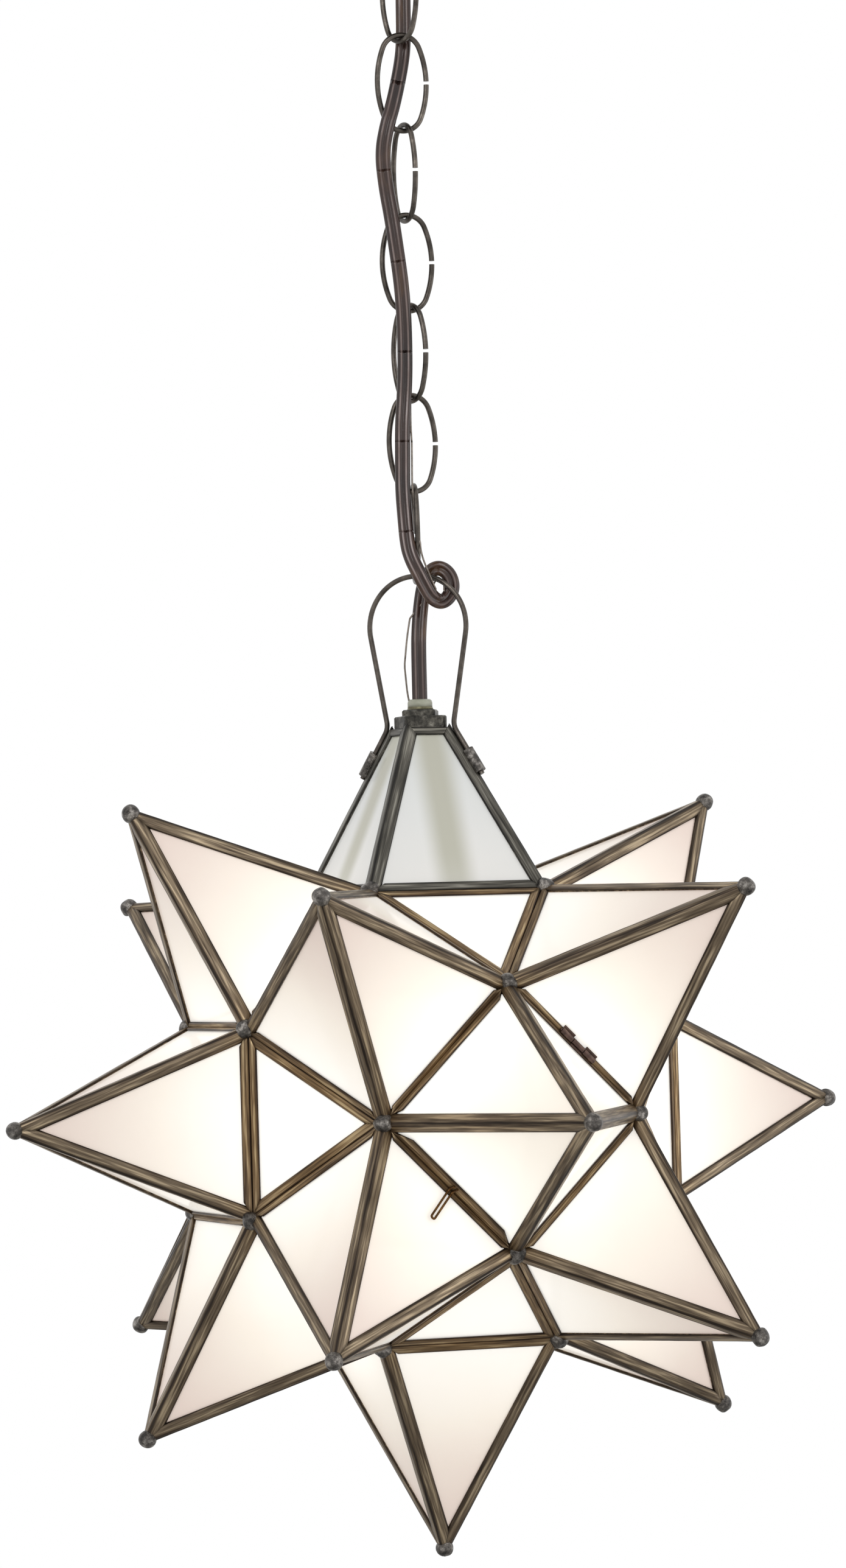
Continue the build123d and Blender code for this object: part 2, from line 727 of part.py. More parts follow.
# Canopy, crossbar and what hangs from them
with BuildPart() as canopy:
    with BuildSketch(Plane.XZ):
        with BuildLine():
            Line((canopy_diameter / 2, 0), (canopy_diameter / 2, -canopy_rim_height))
            Spline(
                (canopy_diameter / 2, -canopy_rim_height), (canopy_neck_radius, canopy_bottom),
                tangents=[(-0.25, -1), (-1, -0.12)],
            )
            Line((canopy_neck_radius, canopy_bottom), (0, canopy_bottom))
            Line((0, canopy_bottom), (0, 0))
            Line((0, 0), (canopy_diameter / 2, 0))
        make_face()
    revolve(axis=Axis.Z)
    offset(amount=-canopy_wall, openings=canopy.faces().sort_by(Axis.Z)[-1:])
    with BuildSketch(Plane.XY.offset(canopy_bottom)):
        Circle(collar_diameter / 2 + fit_gap)
    extrude(amount=canopy_wall, mode=Mode.SUBTRACT)
canopy.part.label = "canopy"
export_step(canopy.part, "parts/canopy.step")

with BuildPart() as crossbar:
    with BuildSketch():
        SlotOverall(crossbar_length, crossbar_width)
        Circle(thread_radius, mode=Mode.SUBTRACT)
        with Locations((-slot_spacing / 2, 0), (slot_spacing / 2, 0)):
            SlotOverall(slot_length, slot_width, mode=Mode.SUBTRACT)
        with Locations((earth_screw_offset, 0)):
            Circle(earth_screw_diameter / 2 + thread_gap, mode=Mode.SUBTRACT)
    extrude(amount=-crossbar_thickness)
crossbar.part.label = "crossbar"
export_step(crossbar.part, "parts/crossbar.step")

with BuildPart() as earth_screw:
    with BuildSketch(Plane.XY):
        with Locations((earth_screw_offset, 0)):
            Circle(earth_screw_diameter / 2)
    extrude(amount=-crossbar_thickness)
    with BuildSketch(Plane.XY.offset(-crossbar_thickness)):
        with Locations((earth_screw_offset, 0)):
            Circle(earth_screw_head / 2)
    extrude(amount=-earth_screw_rise)
    with BuildSketch(Plane.XY.offset(-crossbar_thickness - earth_screw_rise)):
        with Locations((earth_screw_offset, 0)):
            Rectangle(earth_screw_head, earth_slot_width)
    extrude(amount=earth_slot_depth, mode=Mode.SUBTRACT)
earth_screw.part.label = "earth_screw"
export_step(earth_screw.part, "parts/earth_screw.step")

collar_top = collar_bottom + collar_length
nipple_bottom = collar_bottom + nipple_seat
with BuildPart() as nipple:
    add(make_tube(nipple_bottom, 0))
nipple.part.label = "nipple"
export_step(nipple.part, "parts/nipple.step")

with BuildPart() as lock_nut:
    add(make_nut(-crossbar_thickness - nut_height, nut_across, nut_height))
lock_nut.part.label = "lock_nut"
export_step(lock_nut.part, "parts/lock_nut.step")

with BuildPart() as collar_loop:
    with BuildSketch(Plane.XY.offset(collar_bottom)):
        Circle(collar_diameter / 2)
    extrude(amount=collar_length)
    chamfer(collar_loop.edges().filter_by(GeomType.CIRCLE), 0.8)
    with BuildSketch(Plane(origin=(loop_radius, 0, loop_centre), x_dir=(1, 0, 0), z_dir=(0, 0, 1))):
        Circle(loop_wire / 2)
    revolve(axis=Axis((0, 0, loop_centre), (0, 1, 0)), revolution_arc=360)
    with BuildSketch(Plane.XY.offset(nipple_bottom)):
        Circle(thread_radius)
    extrude(amount=collar_length, mode=Mode.SUBTRACT)
    with BuildSketch(Plane.XY.offset(loop_centre)):
        Circle(tube_bore / 2)
    extrude(amount=collar_length, mode=Mode.SUBTRACT)
collar_loop.part.label = "collar_loop"
export_step(collar_loop.part, "parts/collar_loop.step")

with BuildPart() as canopy_nut:
    with BuildSketch(Plane.XY.offset(canopy_bottom)):
        Circle(canopy_nut_diameter / 2)
        Circle(collar_diameter / 2 + thread_gap, mode=Mode.SUBTRACT)
    extrude(amount=-canopy_nut_height)
    chamfer(canopy_nut.faces().sort_by(Axis.Z)[0].outer_wire().edges(), 0.8)
canopy_nut.part.label = "canopy_nut"
export_step(canopy_nut.part, "parts/canopy_nut.step")

# Cord. The route's points are (across, back, height above the star's centre), from the collar to the stem.
cord_plane = Plane(
    origin=star_centre, x_dir=(cos(radians(cord_turn)), sin(radians(cord_turn)), 0), z_dir=(0, 0, 1)
)
cord_route = [
    [(0, 0, 422), (0, 0, 415.5), (2.3, 6.2, 407), (1.5, 5.2, 394)],
    [(1.3, 4.5, 384), (1.2, 4.3, 375), (0.4, 3.3, 366)],
    [(-3.2, -2.6, 350), (-5.6, -4.8, 342.5), (-7.6, -4.1, 333)],
    [(-6.6, -3.6, 321), (-5.0, -4.1, 311), (-3.8, -4.5, 301)],
    [(-2.4, -4.7, 289), (-1.8, -4.5, 279.5), (-1.6, -4.35, 270)],
    [(-1.8, -4.4, 257), (-2.5, -4.7, 247), (-3.3, -5.3, 238)],
    [(-3.6, -5.6, 226.5), (-3.9, -5.8, 216), (-3.4, -6.6, 206)],
    [
        (-2.8, -8.3, 196), (-1.4, -9.9, 191), (0.7, -9.9, 186.6), (2.9, -8.4, 182), (5.1, -6.0, 178.2),
        (8.2, -3.7, 176.4), (11.3, -2.1, 178.4), (12.6, -1.8, 182.4), (11.2, -1.8, 186.8),
        (7.8, -1.0, 189), (4.5, 1.5, 187.4), (2.5, 3.6, 182.6), (1.4, 3.1, 176.5), (0.5, 1.3, 169),
        (0, 0, 160), (0, 0, 140),
    ],
]
# Each length of the cord ends half way along the run that leads to the next.
joins = [
    (Vector(*upper[-1]) + Vector(*lower[0])) / 2 for upper, lower in zip(cord_route, cord_route[1:])
]
for number, route in enumerate(cord_route, start=1):
    stations = [Vector(*point) for point in route]
    if number > 1:
        stations.insert(0, joins[number - 2])
    if number <= len(joins):
        stations.append(joins[number - 1])
    points = [cord_plane.from_local_coords(station) for station in stations]
    radii = []
    for before, corner, after in zip(points, points[1:], points[2:]):
        half_turn = radians((corner - before).get_angle(after - corner) / 2)
        shorter = min((corner - before).length, (after - corner).length)
        radii.append(0.45 * shorter / tan(half_turn))
    name = "cord_" + str(number)
    with BuildPart() as cord:
        with BuildLine():
            centre_line = FilletPolyline(*points, radius=radii)
        with BuildSketch(Plane(origin=centre_line @ 0, z_dir=centre_line % 0)):
            Circle(cord_diameter / 2)
        sweep(path=centre_line)
    cord.part.label = name
    export_step(cord.part, "parts/" + name + ".step")
    ratio = cord.part.volume / (radians(180) * (cord_diameter / 2) ** 2 * centre_line.length)
    print(name, "length", round(centre_line.length, 1), "volume ratio", round(ratio, 4),
          "radii", [round(radius, 1) for radius in radii])

cord_top = star_height + cord_route[0][0][2]
cord_end = star_height + cord_route[-1][-1][2]


def make_lead(bottom, top):
    with BuildPart() as lead:
        with BuildSketch(Plane.XY.offset(bottom)):
            Circle(cord_diameter / 2)
        extrude(amount=top - bottom)
    return lead.part


with BuildPart() as supply_lead:
    add(make_lead(cord_top, 0))
supply_lead.part.label = "supply_lead"
export_step(supply_lead.part, "parts/supply_lead.step")

with BuildPart() as lamp_lead:
    add(make_lead(shell_top, cord_end))
lamp_lead.part.label = "lamp_lead"
export_step(lamp_lead.part, "parts/lamp_lead.step")

hinge_point = door_plane.from_local_coords(hinge_centre)
print("star centre", round(star_height, 3), "bail apex", round(bail_apex, 3), "hinge", hinge_point, door_plane.y_dir)
for number, level in enumerate(link_tops, start=1):
    print("link", number, "top", round(level, 3), "bottom", round(level - link_centre_length, 3))
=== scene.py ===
import math

import bpy
import numpy as np
from mathutils import Matrix, Vector


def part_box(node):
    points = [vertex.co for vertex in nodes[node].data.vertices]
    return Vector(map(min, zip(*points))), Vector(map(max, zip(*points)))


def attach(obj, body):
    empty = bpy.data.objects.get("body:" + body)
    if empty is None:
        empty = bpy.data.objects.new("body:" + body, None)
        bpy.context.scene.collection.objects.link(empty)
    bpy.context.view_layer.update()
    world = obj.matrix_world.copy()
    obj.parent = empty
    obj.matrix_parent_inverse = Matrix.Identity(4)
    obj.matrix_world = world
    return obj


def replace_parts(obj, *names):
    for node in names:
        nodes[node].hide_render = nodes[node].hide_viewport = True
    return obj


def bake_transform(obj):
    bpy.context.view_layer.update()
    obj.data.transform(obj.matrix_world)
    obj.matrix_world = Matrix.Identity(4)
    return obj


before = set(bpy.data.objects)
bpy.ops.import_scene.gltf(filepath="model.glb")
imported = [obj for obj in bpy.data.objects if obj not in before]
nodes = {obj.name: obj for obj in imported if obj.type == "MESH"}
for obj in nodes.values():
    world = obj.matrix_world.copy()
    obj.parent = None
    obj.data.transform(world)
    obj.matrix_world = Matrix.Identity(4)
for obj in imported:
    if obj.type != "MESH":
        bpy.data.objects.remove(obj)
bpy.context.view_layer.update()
starCentre = np.array((0.0, 0.0, -0.455577))  # below the ceiling, in metres

# The photograph's viewpoint. Roll sits between the lean of the star and the smaller lean of the chain.
viewpoint = {"azimuth": -20.15, "elevation": -1.71, "roll": -1.68, "distance": 1.8615,
             "aimRight": 0.0031, "aimUp": -0.1139, "lens": 123.7, "sensor": 36, "nearest": 0.05}


def placeCamera(size):
    turn, tilt, roll = (math.radians(size[key]) for key in ("azimuth", "elevation", "roll"))
    forward = Vector((-math.sin(turn) * math.cos(tilt), math.cos(turn) * math.cos(tilt), -math.sin(tilt)))
    right = Vector((math.cos(turn), math.sin(turn), 0))
    up = right.cross(forward)
    rolledRight = right * math.cos(roll) + up * math.sin(roll)
    rolledUp = up * math.cos(roll) - right * math.sin(roll)
    camera = bpy.data.objects.new("camera", bpy.data.cameras.new("camera"))
    bpy.context.scene.collection.objects.link(camera)
    camera.data.lens = size["lens"]
    camera.data.sensor_width = size["sensor"]
    camera.data.clip_start = size["nearest"]
    turned = Matrix((rolledRight, rolledUp, -forward)).transposed().to_4x4()
    place = (Vector(starCentre) - rolledRight * size["aimRight"] - rolledUp * size["aimUp"]
             - forward * size["distance"])
    camera.matrix_world = Matrix.Translation(place) @ turned
    bpy.context.scene.camera = camera


placeCamera(viewpoint)


def unit(v):
    # each row brought to length 1
    return v / np.maximum(np.linalg.norm(v, axis=-1, keepdims=True), 1e-12)


def gridFaces(rows, columns, closedRows=False, start=0):
    # quads of a grid of rows by columns, its columns closed round
    i = np.arange(rows if closedRows else rows - 1)[:, None]
    j = np.arange(columns)[None, :]
    nextI, nextJ = (i + 1) % rows, (j + 1) % columns
    quads = np.stack([i * columns + j, i * columns + nextJ, nextI * columns + nextJ, nextI * columns + j], -1)
    return (quads.reshape(-1, 4) + start).tolist()


def carry(section, path, across, closed=False):
    # section (u, v) carried along the path: p + u * side + v * normal, with side square to the run
    path = np.asarray(path, float)
    if closed:
        run = unit(np.roll(path, -1, 0) - np.roll(path, 1, 0))
    else:
        run = unit(np.gradient(path, axis=0))
    side = unit(across - (across * run).sum(-1, keepdims=True) * run)
    normal = np.cross(run, side)
    section = np.asarray(section, float)
    if section.ndim == 2:
        section = np.broadcast_to(section, (len(path), *section.shape))
    return (path[:, None] + section[..., :1] * side[:, None] + section[..., 1:] * normal[:, None])


def newPiece(name, body, parts, materials, lengthwise=None, tucked=False):
    # parts: (grid of points, closed along the path, material number); open ends get a cap
    # lengthwise: for each point, its place on its strip or strand, kept as the attribute "strip"
    # tucked: the first and last rows are turned in at the ends, and stay unsmoothed
    points, faces, numbers, soft = [], [], [], []
    count = 0
    for grid, closed, number in parts:
        rows, columns = grid.shape[:2]
        made = gridFaces(rows, columns, closed, count)
        rowSoft = np.ones((len(made) // columns, columns), bool)
        if tucked:
            rowSoft[[0, -1]] = False
        soft += rowSoft.ravel().tolist()
        if not closed:
            soft += [False, False]
            made.append(list(range(count + columns - 1, count - 1, -1)))
            made.append(list(range(count + (rows - 1) * columns, count + rows * columns)))
        points.append(grid.reshape(-1, 3))
        faces += made
        numbers += [number] * len(made)
        count += rows * columns
    mesh = bpy.data.meshes.new(name)
    mesh.from_pydata(np.concatenate(points).tolist(), [], faces)
    mesh.polygons.foreach_set("material_index", numbers)
    mesh.polygons.foreach_set("use_smooth", soft)
    for material in materials:
        mesh.materials.append(material)
    if lengthwise is not None:
        strip = mesh.attributes.new("strip", "FLOAT_VECTOR", "POINT")
        strip.data.foreach_set("vector", np.asarray(lengthwise, np.float32).ravel())
    piece = bpy.data.objects.new(name, mesh)
    bpy.context.scene.collection.objects.link(piece)
    if body:
        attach(piece, body)
    return piece


def tuckEnds(grid, share=0.9, depth=0.0002):
    # one more ring at each end, smaller and drawn in, so that two pieces meet on their outer rings only
    ends = []
    for ring, following in ((grid[0], grid[1]), (grid[-1], grid[-2])):
        middle = ring.mean(0)
        ends.append(middle + (ring - middle) * share + unit(following.mean(0) - middle) * depth)
    return np.concatenate([ends[:1], grid, ends[1:]])


def circle(radius, count):
    turn = np.linspace(0, 2 * np.pi, count, endpoint=False)
    return np.stack([np.cos(turn), np.sin(turn)], -1) * radius


# Cord: (across, back, height above the star's centre) in millimetres, from the collar down to the stem
cordRoute = [
    [(0, 0, 422), (0, 0, 415.5), (2.3, 6.2, 407), (1.5, 5.2, 394)],
    [(1.3, 4.5, 384), (1.2, 4.3, 375), (0.4, 3.3, 366)],
    [(-3.2, -2.6, 350), (-5.6, -4.8, 342.5), (-7.6, -4.1, 333)],
    [(-6.6, -3.6, 321), (-5.0, -4.1, 311), (-3.8, -4.5, 301)],
    [(-2.4, -4.7, 289), (-1.8, -4.5, 279.5), (-1.6, -4.35, 270)],
    [(-1.8, -4.4, 257), (-2.5, -4.7, 247), (-3.3, -5.3, 238)],
    [(-3.6, -5.6, 226.5), (-3.9, -5.8, 216), (-3.4, -6.6, 206)],
    [(-2.8, -8.3, 196), (-1.4, -9.9, 191), (0.7, -9.9, 186.6), (2.9, -8.4, 182), (5.1, -6.0, 178.2),
     (8.2, -3.7, 176.4), (11.3, -2.1, 178.4), (12.6, -1.8, 182.4), (11.2, -1.8, 186.8),
     (7.8, -1.0, 189), (4.5, 1.5, 187.4), (2.5, 3.6, 182.6), (1.4, 3.1, 176.5), (0.5, 1.3, 169),
     (0, 0, 160), (0, 0, 140)],
]
cord = {"turn": -19.3, "halfWidth": 0.00265, "halfThickness": 0.0014, "web": 0.00085, "webHalf": 0.0007,
        "declared": 0.0052, "lengths": [0.0335, 0.0315, 0.032, 0.0318, 0.0314, 0.0313, 0.0313, 0.094],
        "earthRadius": 0.00032}
across = np.array((math.cos(math.radians(cord["turn"])), math.sin(math.radians(cord["turn"])), 0.0))
back = np.array((-across[1], across[0], 0.0))


def routePoint(point):
    return starCentre + (across * point[0] + back * point[1] + np.array((0, 0, point[2]))) / 1000


def splineThrough(points):
    # the points that a quadratic NURBS spline over these control points gives
    curve = bpy.data.curves.new("route", "CURVE")
    curve.dimensions = "3D"
    spline = curve.splines.new("NURBS")
    spline.points.add(len(points) - 1)
    for place, point in zip(spline.points, points):
        place.co = (*point, 1)
    spline.order_u = 3
    spline.use_endpoint_u = True
    spline.resolution_u = 16
    holder = bpy.data.objects.new("route", curve)
    mesh = bpy.data.meshes.new_from_object(holder)
    line = np.array([v.co for v in mesh.vertices], float)
    bpy.data.objects.remove(holder)
    bpy.data.meshes.remove(mesh)
    bpy.data.curves.remove(curve)
    keep = np.r_[True, np.linalg.norm(np.diff(line, axis=0), axis=1) > 1e-6]
    return line[keep]


wholeLine = splineThrough([routePoint(p) for length in cordRoute for p in length])
joins = [(routePoint(a[-1]) + routePoint(b[0])) / 2 for a, b in zip(cordRoute, cordRoute[1:])]
cuts = [int(np.linalg.norm(wholeLine - join, axis=1).argmin()) for join in joins]
wholeLine[cuts] = joins
cuts = [0] + cuts + [len(wholeLine) - 1]


def twinSection(size, count=40):
    # two round strands side by side with a web between: half thickness over a run of places across
    turn = np.linspace(0, 2 * np.pi, count, endpoint=False)
    radius = size["halfThickness"]
    x = size["halfWidth"] * np.cos(turn)
    offset = np.abs(np.abs(x) - (size["halfWidth"] - radius))
    y = np.sqrt(np.maximum(radius ** 2 - offset ** 2, 0))
    y = np.where(np.abs(x) < size["webHalf"], np.maximum(y, size["web"]), y)
    return np.stack([x, y * np.sign(np.sin(turn) + 1e-9)], -1)


# Bare earth wire, in millimetres: height above the star's centre, then its place across from the middle of the
# cord and in front of it
earthPlaces = np.array([
    (128, -1.5, 0.0), (138, -3.0, 0.6), (146, -4.3, 0.4), (155, -5.0, 0.2), (163, -4.2, 0.5), (171, -3.4, 0.8),
    (180, 2.6, 0.8), (188, 3.3, 1.2), (196, 4.3, 0.6), (206, 3.6, 0.4), (216, 3.3, 0.6), (232, 3.2, 0.4),
    (245, 2.4, -1.5), (262, 1.2, -2.0), (290, -1.2, -2.0), (320, 0.6, -2.0), (350, 1.6, -2.0), (380, -0.8, -2.0),
    (405, 0.5, -2.0), (425, 0.0, -1.9)])


def earthLine(line):
    # the wire's own line beside the cord: offsets across and towards the front, read by height
    height = (line[:, 2] - starCentre[2]) * 1000
    run = unit(np.gradient(line, axis=0))
    side = unit(np.cross(run, back))
    front = -np.cross(side, run)
    u = np.interp(height, earthPlaces[:, 0], earthPlaces[:, 1]) / 1000
    v = np.interp(height, earthPlaces[:, 0], earthPlaces[:, 2]) / 1000
    return line + side * u[:, None] + front * v[:, None]


def hexColour(code, alpha=1.0):
    # an sRGB hex code as linear values
    parts = [int(code[i:i + 2], 16) / 255 for i in (1, 3, 5)]
    return (*[c / 12.92 if c <= 0.04045 else ((c + 0.055) / 1.055) ** 2.4 for c in parts], alpha)


def addNode(tree, kind, links=None, **settings):
    # one node: settings go to its properties or sockets, links to its inputs
    node = tree.nodes.new(kind)
    for key, value in settings.items():
        if hasattr(node, key):
            setattr(node, key, value)
        else:
            node.inputs[key.replace("_", " ")].default_value = value
    for key, source in (links or {}).items():
        tree.links.new(source, node.inputs[key])
    return node


def newMaterial(name, **sockets):
    material = bpy.data.materials.new(name)
    material.use_nodes = True
    shader = material.node_tree.nodes["Principled BSDF"]
    for key, value in sockets.items():
        shader.inputs[key.replace("_", " ")].default_value = value
    return material, material.node_tree, shader


def ramp(tree, source, stops):
    # colour stops: (place, hex code)
    node = addNode(tree, "ShaderNodeValToRGB", {"Fac": source})
    while len(node.color_ramp.elements) < len(stops):
        node.color_ramp.elements.new(0.5)
    for element, (place, code) in zip(node.color_ramp.elements, stops):
        element.position = place
        element.color = hexColour(code)
    return node.outputs["Color"]


def grainOf(tree, millimetres, detail=2.0, roughness=0.5, stretch=(1, 1, 1)):
    # noise on Object coordinates with spots about this size
    place = addNode(tree, "ShaderNodeTexCoord")
    scaled = addNode(tree, "ShaderNodeMapping", {"Vector": place.outputs["Object"]})
    scaled.inputs["Scale"].default_value = stretch
    return addNode(tree, "ShaderNodeTexNoise", {"Vector": scaled.outputs["Vector"]},
                   Scale=1000.0 / millimetres, Detail=detail, Roughness=roughness).outputs["Fac"]


def bumpFrom(tree, shader, source, millimetres, strength=1.0):
    bump = addNode(tree, "ShaderNodeBump", {"Height": source}, Distance=millimetres / 1000, Strength=strength)
    tree.links.new(bump.outputs["Normal"], shader.inputs["Normal"])


def spread(tree, source, low, high):
    # a 0 to 1 value brought to low to high
    return addNode(tree, "ShaderNodeMapRange", {"Value": source}, To_Min=low, To_Max=high).outputs["Result"]


def fromCentre(tree, near, far):
    # 0 within near of the star's centre, 1 beyond far, in metres
    place = addNode(tree, "ShaderNodeTexCoord")
    away = addNode(tree, "ShaderNodeVectorMath", {0: place.outputs["Object"]}, operation="DISTANCE")
    away.inputs[1].default_value = tuple(starCentre)
    return addNode(tree, "ShaderNodeMapRange", {"Value": away.outputs["Value"]},
                   From_Min=near, From_Max=far, interpolation_type="SMOOTHSTEP").outputs["Result"]


def mixColour(tree, share, first, second):
    node = addNode(tree, "ShaderNodeMix", data_type="RGBA")
    for socket, value in ((node.inputs["Factor"], share), (node.inputs[6], first), (node.inputs[7], second)):
        if isinstance(value, str):
            socket.default_value = hexColour(value)
        else:
            tree.links.new(value, socket)
    return node.outputs[2]


def metalFinish(name, stops, metallic, rough, spotSize, bumpDepth):
    # mottled metal: colour from coarse spots, roughness from finer ones, a slight lumpiness
    material, tree, shader = newMaterial(name, Metallic=metallic)
    coarse = grainOf(tree, spotSize, 4.0, 0.6)
    fine = grainOf(tree, spotSize / 6, 3.0)
    tree.links.new(ramp(tree, coarse, stops), shader.inputs["Base Color"])
    tree.links.new(spread(tree, fine, *rough), shader.inputs["Roughness"])
    bumpFrom(tree, shader, fine, bumpDepth)
    return material


# Brass came, darkened by patina: dull brown with paler scratches drawn along it; painted lamplight makes it
# warmer near the lamp
# edge and crown set painted shade at each strip's edges and a painted highlight along its crown
cameLook = {"stretch": 0.04, "spots": 2.2, "edge": -0.24, "crown": 0.1, "lampLitNear": 0.072, "lampLitFar": 0.1,
            "places": (0.3, 0.45, 0.6, 0.74), "rough": (0.5, 0.3), "bump": 0.12}


def cameFinish(name, lengthwise, stops, lampLitStops):
    material, tree, shader = newMaterial(name, Metallic=0.75)
    if lengthwise:
        strip = addNode(tree, "ShaderNodeAttribute", attribute_name="strip").outputs["Vector"]
        drawn = addNode(tree, "ShaderNodeMapping", {"Vector": strip})
        drawn.inputs["Scale"].default_value = (1.0, cameLook["stretch"], 0.0)
        scratch = addNode(tree, "ShaderNodeTexNoise", {"Vector": drawn.outputs["Vector"]},
                          Scale=1100.0, Detail=3.0, Roughness=0.55).outputs["Fac"]  # 0.9 mm across, 23 mm along
        crown = addNode(tree, "ShaderNodeSeparateXYZ", {"Vector": strip}).outputs["Z"]  # 1 on the strip's crown
        # painted highlight along the crown of each strip, painted shade towards its edges
        crownHighlightAndEdgeShade = spread(tree, crown, cameLook["edge"], cameLook["crown"])
        share = addNode(tree, "ShaderNodeMath", {0: scratch, 1: crownHighlightAndEdgeShade}, operation="ADD").outputs[0]
    else:
        scratch = share = grainOf(tree, cameLook["spots"], 4.0, 0.62)
    patches = ramp(tree, share, list(zip(cameLook["places"], stops)))
    # painted lamplight: warmer, paler colours near the lamp, mixed in by distance from the star's centre
    lampLit = ramp(tree, share, list(zip(cameLook["places"], lampLitStops)))
    away = fromCentre(tree, cameLook["lampLitNear"], cameLook["lampLitFar"])
    tree.links.new(mixColour(tree, away, lampLit, patches), shader.inputs["Base Color"])
    tree.links.new(spread(tree, scratch, *cameLook["rough"]), shader.inputs["Roughness"])
    bumpFrom(tree, shader, scratch, cameLook["bump"])
    return material


# Frosted glass with painted lamplight: a painted glow, nearly white over the lamp and fading towards the tips;
# smooth outside over an etched inner face
glassLook = {"near": 0.06, "far": 0.152, "cloud": 26.0, "mottle": 0.12, "places": (0.05, 0.5, 0.95), "etch": 0.9,
             "rough": (0.42, 0.58), "waves": 14.0, "bump": 0.25}
# painted shadow of the stem on the top spike's panes: the band's width, height and colour
stemShadowBand = {"inner": 0.0015, "outer": 0.01, "top": 0.092, "fade": 0.042, "colour": "#B9B8AA"}


def stemShadow(tree):
    # painted shadow of the stem inside: a soft dark band down the middle of each pane, strongest at the top
    place = addNode(tree, "ShaderNodeTexCoord")
    sides = addNode(tree, "ShaderNodeVectorMath", {0: place.outputs["Object"]}, operation="ABSOLUTE")
    apart = addNode(tree, "ShaderNodeSeparateXYZ", {"Vector": sides.outputs["Vector"]})
    least = addNode(tree, "ShaderNodeMath", {0: apart.outputs["X"], 1: apart.outputs["Y"]}, operation="MINIMUM")
    band = addNode(tree, "ShaderNodeMapRange", {"Value": least.outputs[0]}, From_Min=stemShadowBand["inner"],
                   From_Max=stemShadowBand["outer"], To_Min=1.0, To_Max=0.0, interpolation_type="SMOOTHSTEP")
    height = addNode(tree, "ShaderNodeSeparateXYZ", {"Vector": place.outputs["Object"]}).outputs["Z"]
    topmost = float(starCentre[2]) + stemShadowBand["top"]
    fade = addNode(tree, "ShaderNodeMapRange", {"Value": height}, From_Min=topmost - stemShadowBand["fade"],
                   From_Max=topmost, interpolation_type="SMOOTHSTEP")
    return addNode(tree, "ShaderNodeMath", {0: band.outputs["Result"], 1: fade.outputs["Result"]},
                   operation="MULTIPLY").outputs[0]


def glassFinish(name, lampLitTints, glows, stemShade=False):
    # painted lamplight: colours at the lamp, half way out and at the tips; painted glow strengths at the lamp
    # and at the tips
    material, tree, shader = newMaterial(name, IOR=1.5, Coat_Weight=0.3, Coat_Roughness=0.08)
    away = fromCentre(tree, glassLook["near"], glassLook["far"])
    cloud = spread(tree, grainOf(tree, glassLook["cloud"], 3.0, 0.55), -glassLook["mottle"], glassLook["mottle"])
    # painted lamplight fading with distance from the lamp, plus a random cloudy mottle of the glass
    lampFalloffAndMottle = addNode(tree, "ShaderNodeMath", {0: away, 1: cloud}, operation="ADD", use_clamp=True).outputs[0]
    tint = ramp(tree, lampFalloffAndMottle, list(zip(glassLook["places"], lampLitTints)))
    if stemShade:
        tint = mixColour(tree, stemShadow(tree), tint, stemShadowBand["colour"])
    tree.links.new(tint, shader.inputs["Base Color"])
    tree.links.new(tint, shader.inputs["Emission Color"])
    tree.links.new(spread(tree, away, *glows), shader.inputs["Emission Strength"])
    etch = grainOf(tree, glassLook["etch"])
    tree.links.new(spread(tree, etch, *glassLook["rough"]), shader.inputs["Roughness"])
    bumpFrom(tree, shader, grainOf(tree, glassLook["waves"]), glassLook["bump"])
    return material


brownStops = ("#2A221B", "#4D4134", "#716351", "#A8977D")
# painted lamplight: the came's warmer, paler colours near the lamp
lampLitStops = ("#33241A", "#5E472B", "#8A6B42", "#C4A979")
greyStops = ("#22211F", "#3C3A35", "#5C5952", "#8E8B81")
came = cameFinish("patinated brass came", False, brownStops, lampLitStops)
cameBead = cameFinish("drawn brass came face", True, brownStops, lampLitStops)
topCame = cameFinish("patinated brass, grey with age", False, greyStops, greyStops)
topCameBead = cameFinish("drawn brass came face, grey with age", True, greyStops, greyStops)
# painted lamplight for each set of panes: brightest on the door over the lamp, dimmer and greyer on the top
# spike round the stem
glass = glassFinish("frosted glass", ("#FFFEFA", "#FBF2E6", "#F1DFD4"), (0.5, 0.16))
doorGlass = glassFinish("frosted glass over the lamp", ("#FFFFFB", "#FFFBF1", "#FBF1E4"), (0.5, 0.34))
topGlass = glassFinish("frosted glass round the stem", ("#E6E4E0", "#DFE0DE", "#DADDDB"), (0.25, 0.2), True)
solder = metalFinish("lumpy tin solder", [(0.35, "#363432"), (0.52, "#605C58"), (0.7, "#A5A09A")], 0.9,
                     (0.18, 0.45), 2.4, 0.3)
chainMetal = metalFinish("dark bronzed steel wire", [(0.3, "#3B3733"), (0.6, "#5C5650"), (0.85, "#8A8178")], 0.9,
                         (0.25, 0.42), 5.0, 0.05)
hingeBrass = metalFinish("brass sheet with dark patina", [(0.3, "#362A26"), (0.6, "#5B4840"), (0.85, "#8C7463")],
                         0.8, (0.3, 0.45), 3.0, 0.03)
pullWire = metalFinish("heat tinted brass wire", [(0.3, "#3A2716"), (0.6, "#6E4E2A"), (0.85, "#A37C48")], 0.85,
                       (0.25, 0.4), 3.0, 0.02)
nylon = metalFinish("ivory nylon", [(0.3, "#A9AB97"), (0.7, "#C9CAB9")], 0.0, (0.35, 0.45), 4.0, 0.02)
canopyMetal = metalFinish("bronzed sheet steel", [(0.3, "#3E3830"), (0.6, "#574E42"), (0.85, "#7B6E5B")], 0.85,
                          (0.3, 0.45), 12.0, 0.03)
